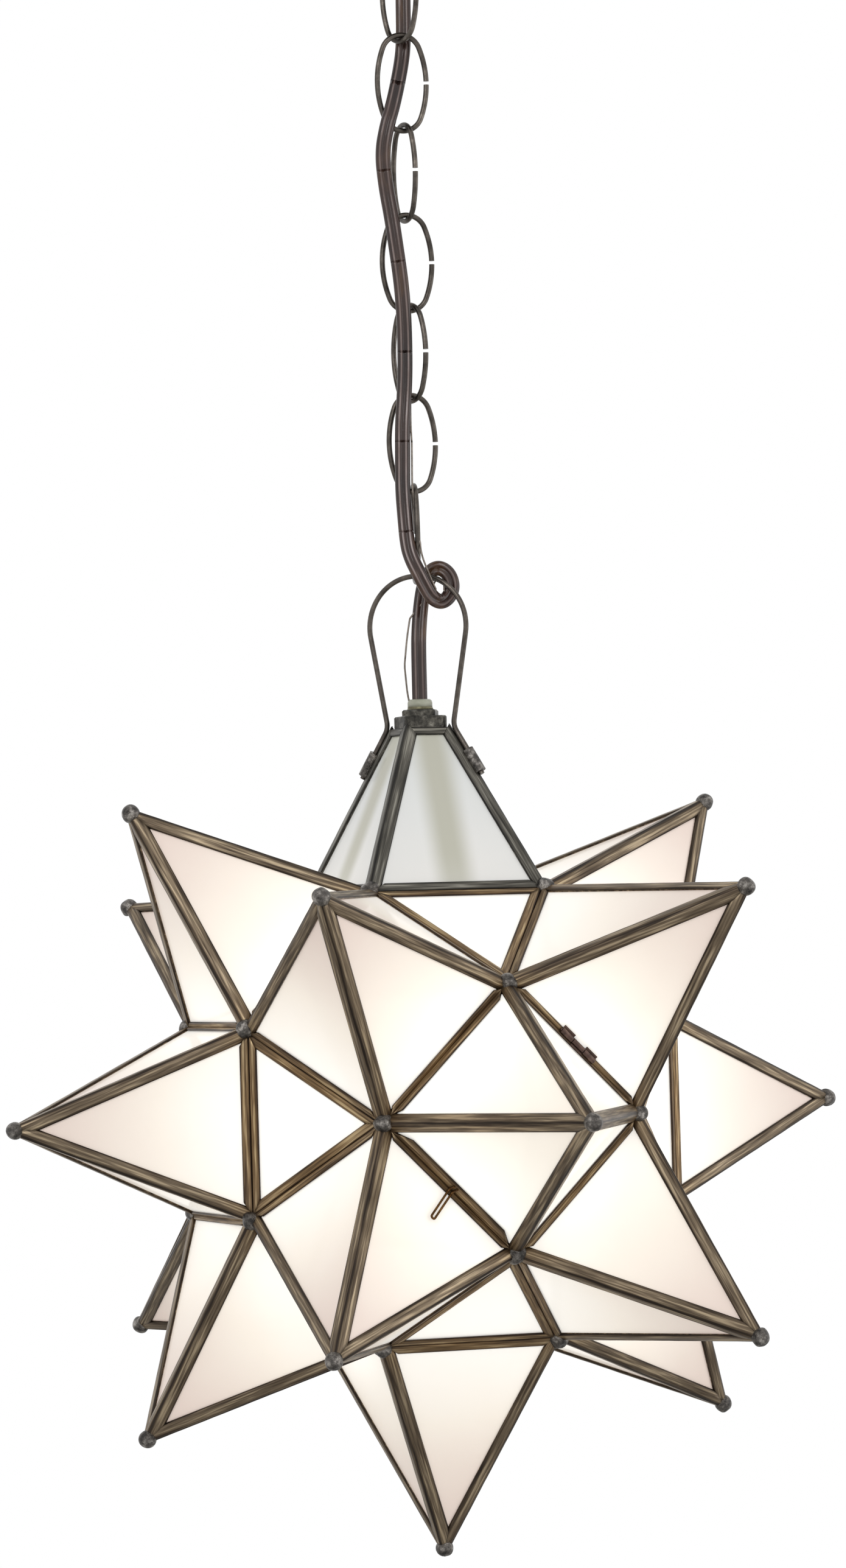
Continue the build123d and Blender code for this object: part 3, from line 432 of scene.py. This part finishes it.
zinc = metalFinish("zinc plated steel", [(0.3, "#8E9194"), (0.7, "#B4B7BA")], 1.0, (0.25, 0.4), 4.0, 0.03)
greenPaint = metalFinish("green enamel", [(0.3, "#1F6B3A"), (0.7, "#2C8049")], 0.1, (0.3, 0.4), 3.0, 0.02)
threadBrass = metalFinish("turned brass gone dull", [(0.3, "#56523F"), (0.6, "#7C7860"), (0.85, "#A09C82")], 0.9,
                          (0.35, 0.5), 3.0, 0.02)
holderBrass = metalFinish("drawn brass", [(0.3, "#A98F55"), (0.7, "#C8AE70")], 1.0, (0.2, 0.32), 8.0, 0.02)
porcelain = metalFinish("glazed porcelain", [(0.3, "#E6E3DA"), (0.7, "#F1EFE8")], 0.0, (0.12, 0.2), 10.0, 0.02)
lampGlass = glassFinish("inside frosted lamp glass", ("#FFFDF6", "#FFFAEE", "#FFF6E4"), (1.2, 1.2))
copper = metalFinish("bare tinned copper", [(0.3, "#5D5650"), (0.7, "#8B8279")], 1.0, (0.3, 0.4), 2.0, 0.02)


# Twin cord in clear brown PVC: smooth, with the amber of its cores showing through in patches
def cordFinish():
    # x of "strip" is the place across the cord, from -1 to 1; a painted highlight shows as a paler line along
    # each strand
    material, tree, shader = newMaterial("brown pvc cord", IOR=1.45, Roughness=0.16)
    strip = addNode(tree, "ShaderNodeAttribute", attribute_name="strip").outputs["Vector"]
    place = addNode(tree, "ShaderNodeSeparateXYZ", {"Vector": strip}).outputs["X"]
    sideways = addNode(tree, "ShaderNodeMath", {0: place}, operation="ABSOLUTE").outputs[0]
    patches = ramp(tree, grainOf(tree, 14.0, 3.0, 0.6, (1, 1, 0.35)),
                   [(0.35, "#2C201E"), (0.55, "#41302B"), (0.75, "#7A5836")])
    # painted highlight: the paler streaks along each strand's crown
    strandHighlight = ramp(tree, grainOf(tree, 9.0, 3.0, 0.6, (1, 1, 0.3)),
                [(0.35, "#5E4D48"), (0.55, "#8C7B76"), (0.7, "#B3A6A4")])
    # where across the cord the painted highlight lies
    line = ramp(tree, sideways, [(0.3, "#000000"), (0.42, "#FFFFFF"), (0.5, "#FFFFFF"), (0.62, "#000000")])
    tree.links.new(mixColour(tree, line, patches, strandHighlight), shader.inputs["Base Color"])
    bumpFrom(tree, shader, grainOf(tree, 3.0), 0.06)
    return material


cordJacket = cordFinish()
print("materials made")

# The cord's lengths, one piece each, laid along the route between the two bodies that it passes
spare = 3          # points beyond each end, so that neighbouring lengths end on the same ring
section = twinSection(cord)
strand = section[:, 0] / cord["halfWidth"]
wire = circle(cord["earthRadius"], 8)
for number, (first, last) in enumerate(zip(cuts, cuts[1:]), start=1):
    line = wholeLine[first:last + 1]
    start = max(first - spare, 0)
    whole = wholeLine[start:last + spare + 1]
    lead = first - start
    broad = np.cross(unit(np.gradient(whole, axis=0)), back)  # its flat side faces the front
    jacket = tuckEnds(carry(section, whole, broad)[lead:lead + len(line)])
    earth = tuckEnds(carry(wire, earthLine(whole), broad)[lead:lead + len(line)])
    strandPlaces = np.zeros((jacket[..., 0].size + earth[..., 0].size, 3))
    strandPlaces[:jacket[..., 0].size, 0] = np.tile(strand, len(jacket))
    piece = newPiece("cordLength%d" % number, None,
                     [(jacket, False, 0), (earth, False, 1)], [cordJacket, copper],
                     lengthwise=strandPlaces, tucked=True)
    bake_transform(piece)
    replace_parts(piece, "cord_%d" % number)
    measured = float(np.linalg.norm(np.diff(line, axis=0), axis=1).sum())
    print("cord length", number, round(measured * 1000, 1))

# Threaded brass tubes: radius falls from crest to root once a pitch, along a helix
tube = {"radius": 0.0048, "bore": 0.0032, "pitch": 0.00094, "depth": 0.0005, "around": 40, "perPitch": 8}


def threadedTube(name, body, node, size):
    low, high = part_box(node)
    rows = int((high.z - low.z) / size["pitch"] * size["perPitch"])
    height = np.linspace(low.z, high.z, rows)[:, None]
    turn = np.linspace(0, 2 * np.pi, size["around"], endpoint=False)[None, :]
    phase = (height / size["pitch"] - turn / (2 * np.pi)) % 1.0
    ends = np.minimum(1, np.minimum(height - low.z, high.z - height) / size["pitch"])
    radius = size["radius"] - size["depth"] * (1 - ends * (1 - np.abs(2 * phase - 1)))
    outer = np.stack([radius * np.cos(turn), radius * np.sin(turn), height + 0 * turn], -1)
    bore = np.stack([size["bore"] * np.cos(turn), size["bore"] * np.sin(turn), 0 * turn], -1)
    inner = np.concatenate([bore + (0, 0, high.z), bore + (0, 0, low.z)])
    shell = np.concatenate([outer, inner])
    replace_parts(newPiece(name, body, [(shell, True, 0)], [threadBrass]), node)


threadedTube("stemTube", "star", "stem", tube)
threadedTube("canopyTube", "ceiling", "nipple", tube)

# Lead bushing: a small ivory collar, rounded off, on the upper end of the stem; (radius, height) in metres
bushing = [(0.00315, 0.0), (0.0043, 0.0), (0.0043, 0.0015), (0.00405, 0.0022), (0.0036, 0.0026),
           (0.00315, 0.0024)]


def leadBushing(profile):
    profile = np.array(profile)
    turn = np.linspace(0, 2 * np.pi, 48, endpoint=False)[:, None]
    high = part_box("stem")[1]
    radius, rise = profile.T
    ring = np.stack([radius * np.cos(turn), radius * np.sin(turn), high.z + rise + 0 * turn], -1)
    newPiece("leadBushing", "star", [(ring[::-1], True, 0)], [nylon])


leadBushing(bushing)

# The leads inside the two tubes are the same cord, straight
for name, body, node in (("supplyLead", "ceiling", "supply_lead"), ("lampLead", "star", "lamp_lead")):
    low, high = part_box(node)
    middle = (low + high) / 2
    line = np.array([(middle.x, middle.y, z) for z in np.linspace(high.z, low.z, 6)])
    piece = newPiece(name, body, [(carry(section, line, across), False, 0)], [cordJacket])
    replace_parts(piece, node)


# Star: a core whose square faces each carry a four-sided spike. Lengths in metres, as in the CAD model.
star = {"edge": 0.0627, "spike": 0.0728, "cutHalf": 0.0068075, "cameThickness": 0.0031, "cameWidth": 0.0028,
        "footWidth": 0.0036, "doorFootWidth": 0.0044, "latchWidth": 0.0064, "seam": -0.00005, "dome": 0.00045,
        "tuck": 0.0002, "wave": 0.12, "rates": (190, 410, 930), "across": 9, "along": 26}
halfEdge = star["edge"] / 2
apothem = halfEdge * (1 + math.sqrt(2))
slope = math.hypot(halfEdge, star["spike"])
root = math.sqrt(0.5)


def spikeFrames():
    # (axis, direction of one side of its foot, whether all four feet adjoin spikes); not the top nor the door
    found = [((0, 0, -1), (1, 0, 0), False), ((-1, 0, 0), (0, 0, 1), False), ((1, 0, 0), (0, 0, 1), False),
             ((0, 1, 0), (root, 0, root), True)]
    for rise in (-1, 1):
        for side in (-1, 1):
            found.append(((side * root, 0, rise * root), (0, 1, 0), True))
            for depth in (-1, 1):
                found.append(((side / 2, depth * root, rise / 2), (-side / 2, depth * root, -rise / 2), False))
    return found


# How far beyond or within the fold line the outer face of a came starts, for each kind of fold
halfThickness = star["cameThickness"] / 2
faceLean = math.atan2(star["spike"], halfEdge)
ridgeHalf = math.acos(math.cos(faceLean) ** 2) / 2
toSpike = math.radians(180 - 135) / 2
toFlat = math.pi / 2 - ((math.pi - faceLean) - math.atan2(1, math.sqrt(2))) / 2
foldStart = {
    "ridge": -halfThickness * math.tan(ridgeHalf),
    "spike": halfThickness / math.tan(math.pi / 2 + toSpike - faceLean),
    "flat": halfThickness / math.tan(math.pi / 2 + toFlat - faceLean),
    "cut": 0.0,
}


def cameBeads(corners, kinds, widths, normal, random):
    # one domed strip along each edge of a pane: p = corner + along * s + inward * w + normal * lift, mitred by w
    corners = np.asarray(corners, float)
    count = len(corners)
    after = np.roll(corners, -1, 0)
    along = unit(after - corners)
    turn = np.arccos(np.clip((along * np.roll(along, 1, 0)).sum(1), -1, 1))
    slant = 1 / np.tan((np.pi - turn) / 2)
    places = np.linspace(0, 1, star["across"])
    dome = star["dome"] * np.sqrt(1 - (2 * places - 1) ** 4)
    places = np.concatenate([places, places[[-1, 0]]])
    dome = np.concatenate([dome, [-star["tuck"], -star["tuck"]]])  # into the came below
    made = []
    for n in range(count):
        start = foldStart[kinds[n]] + star["seam"]
        w = start + (widths[n] - start) * places
        length = np.linalg.norm(after[n] - corners[n])
        share = np.linspace(0, 1, star["along"])[:, None]
        s = w * slant[n] + share * (length - w * (slant[n] + slant[(n + 1) % count]))
        shifts = random.uniform(0, 6.28, 3)
        ripple = sum(np.sin(s * rate + shift) for rate, shift in zip(star["rates"], shifts)) / 3
        lift = halfThickness + np.where(dome > 0, dome * (1 + star["wave"] * ripple), dome)
        inward = np.cross(normal, along[n])
        grid = corners[n] + along[n] * s[..., None] + inward * (w + 0 * s)[..., None] + normal * lift[..., None]
        crown = np.clip(dome / star["dome"], 0, 1) ** 2
        strip = np.stack([w + 0 * s + random.uniform(0, 1), s + random.uniform(0, 1), crown + 0 * s], -1)
        made.append((grid, strip))
    return made


def spikeBeads(axis, side, allSpikes, random, cut=False, footWidths=(star["footWidth"],) * 4):
    axis, side = unit(np.array(axis, float)), unit(np.array(side, float))
    third = np.cross(axis, side)
    base = starCentre + axis * apothem
    made = []
    for step in range(4):
        out = side * round(math.cos(step * math.pi / 2)) + third * round(math.sin(step * math.pi / 2))
        left = np.cross(axis, out)
        foot = [base + out * halfEdge - left * halfEdge, base + out * halfEdge + left * halfEdge]
        tip = base + axis * star["spike"]
        footKind = "spike" if allSpikes or step % 2 == 0 else "flat"
        normal = unit(out * star["spike"] + axis * halfEdge)
        if cut:
            share = star["cutHalf"] / halfEdge
            corners = foot + [tip + (foot[1] - tip) * share, tip + (foot[0] - tip) * share]
            kinds = [footKind, "ridge", "cut", "ridge"]
            widths = [footWidths[step]] + [star["cameWidth"]] * 3
        else:
            corners, kinds = foot + [tip], [footKind, "ridge", "ridge"]
            widths = [footWidths[step]] + [star["cameWidth"]] * 2
        made += cameBeads(corners, kinds, widths, normal, random)
    return made


def flatBeads(random):
    made = []
    spacing = star["edge"] * (3 + math.sqrt(2)) / (2 * math.sqrt(3))
    for depth in (-1, 1):
        for side, rise in ((-1, 0), (1, 0), (0, -1), (0, 1)):
            corner = np.array((side * math.sqrt(2), depth * (1 + math.sqrt(2)), rise * math.sqrt(2))) * halfEdge
            normal = unit(np.array((side * math.sqrt(2), depth, rise * math.sqrt(2))))
            middle = normal * spacing
            ray = corner - middle
            third = np.cross(normal, ray)
            corners = [starCentre + middle + ray * math.cos(a) + third * math.sin(a)
                       for a in (0, 2 * math.pi / 3, 4 * math.pi / 3)]
            made += cameBeads(corners, ["flat"] * 3, [star["footWidth"]] * 3, normal, random)
    return made


def beadPiece(name, body, beads, material):
    newPiece(name, body, [(grid, False, 0) for grid, strip in beads], [material],
             lengthwise=np.concatenate([strip.reshape(-1, 3) for grid, strip in beads]))
    print(name, len(beads))


random = np.random.default_rng(7)
beadPiece("topCameFaces", "star", spikeBeads((0, 0, 1), (1, 0, 0), False, random, cut=True), topCameBead)
starBeads = flatBeads(random)
for axis, side, allSpikes in spikeFrames():
    starBeads += spikeBeads(axis, side, allSpikes, random)
beadPiece("starCameFaces", "star", starBeads, cameBead)
wide, latch = star["doorFootWidth"], star["latchWidth"]
beadPiece("doorCameFaces", "door",
          spikeBeads((0, -1, 0), (root, 0, root), True, random, footWidths=(wide, wide, latch, wide)), cameBead)


# Solder blobs: a ball whose radius swells and dips with a few slow waves over its surface
def lumpyBall(centre, radius, lump, seed, rows=18, columns=26, pole=0.02):
    random = np.random.default_rng(seed)
    polar = np.linspace(pole, np.pi - pole, rows)[:, None]
    turn = np.linspace(0, 2 * np.pi, columns, endpoint=False)[None, :]
    ray = np.stack([np.sin(polar) * np.cos(turn), np.sin(polar) * np.sin(turn), np.cos(polar) + 0 * turn], -1)
    swell = np.zeros(ray.shape[:2])
    for wave in random.normal(size=(5, 3)) * 2.2:
        swell += np.sin(ray @ wave + random.uniform(0, 6.28))
    return centre + ray * (radius * (1 + lump * swell / 2))[..., None]


def solderBlobs(name, body, node, radius, lump):
    # one blob for each ball of the node, found as the middles of its separate shells
    mesh = nodes[node].data
    places = np.empty(len(mesh.vertices) * 3)
    mesh.vertices.foreach_get("co", places)
    places = places.reshape(-1, 3)
    middles = []
    while len(places):
        near = np.linalg.norm(places - places[0], axis=1) < 2.2 * radius
        middles.append((places[near].min(0) + places[near].max(0)) / 2)
        places = places[~near]
    parts = [(lumpyBall(middle, radius, lump, seed), False, 0) for seed, middle in enumerate(middles)]
    piece = newPiece(name, body, parts, [solder])
    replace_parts(piece, node)
    print(name, len(parts))


solderBlobs("tipSolder", "star", "tip_solder", 0.0031, 0.05)
solderBlobs("cornerSolder", "star", "node_solder", 0.0033, 0.09)
solderBlobs("doorTipSolder", "door", "tip_door", 0.0031, 0.05)

# Finishes of the nodes that stay as they are
finishes = {
    came: ["came_upper", "came_middle", "came_lower", "came_bottom", "came_flats", "came_door"],
    topCame: ["came_top", "top_band", "top_plate", "stem_nuts"],
    hingeBrass: ["hinge_door", "hinge_star", "hinge_pin"],
    pullWire: ["door_pull"],
    glass: ["glass_upper", "glass_middle", "glass_lower", "glass_bottom", "glass_flats"],
    doorGlass: ["glass_door"],
    topGlass: ["glass_top"],
    solder: ["bail_solder"],
    chainMetal: ["bail", "collar_loop", "canopy_nut"] + ["link_%d" % n for n in range(1, 8)],
    canopyMetal: ["canopy"],
    zinc: ["crossbar", "lock_nut"],
    greenPaint: ["earth_screw"],
    holderBrass: ["holder_cap", "screw_shell", "centre_contact", "lamp_cap"],
    porcelain: ["holder_shell", "insulator"],
    lampGlass: ["lamp_glass"],
}
for material, names in finishes.items():
    for name in names:
        for slot in nodes[name].material_slots:
            slot.material = material
print("finishes set")


# Studio: a pale floor well below the star, a white room that shows in glass and metal, soft lamps
studio = {"floor": -0.78, "floorHalf": 0.75, "room": 0.5, "aim": (0, 0, -0.35),
          "lamps": [("key lamp", 5.5, 0.8, (-0.9, -1.2, 0.5)), ("fill lamp", 3.5, 0.9, (1.1, -0.8, -0.3))]}


def makeStudio(size):
    half, level = size["floorHalf"], size["floor"]
    mesh = bpy.data.meshes.new("floor")
    mesh.from_pydata([(-half, -half, level), (half, -half, level), (half, half, level), (-half, half, level)],
                     [], [(0, 1, 2, 3)])
    floor = bpy.data.objects.new("floor", mesh)
    bpy.context.scene.collection.objects.link(floor)
    material, tree, shader = newMaterial("pale floor paint", Roughness=0.8)
    paint = ramp(tree, grainOf(tree, 400.0), [(0.3, "#F2F2F0"), (0.7, "#F7F7F5")])
    tree.links.new(paint, shader.inputs["Base Color"])
    mesh.materials.append(material)
    world = bpy.data.worlds.new("room")
    bpy.context.scene.world = world
    world.use_nodes = True
    tree = world.node_tree
    background = tree.nodes["Background"]
    background.inputs["Color"].default_value = (1, 1, 1, 1)
    rays = addNode(tree, "ShaderNodeLightPath").outputs
    seen = rays["Is Camera Ray"]
    for kind in ("Is Glossy Ray", "Is Transmission Ray"):
        seen = addNode(tree, "ShaderNodeMath", {0: seen, 1: rays[kind]}, operation="MAXIMUM").outputs[0]
    tree.links.new(spread(tree, seen, size["room"], 1.0), background.inputs["Strength"])
    for name, power, wide, place in size["lamps"]:
        lamp = bpy.data.lights.new(name, "AREA")
        lamp.energy, lamp.size = power, wide
        holder = bpy.data.objects.new(name, lamp)
        bpy.context.scene.collection.objects.link(holder)
        holder.location = place
        holder.rotation_mode = "QUATERNION"
        holder.rotation_quaternion = (Vector(size["aim"]) - Vector(place)).to_track_quat("-Z", "Y")


makeStudio(studio)
bpy.context.scene.view_settings.view_transform = "Standard"
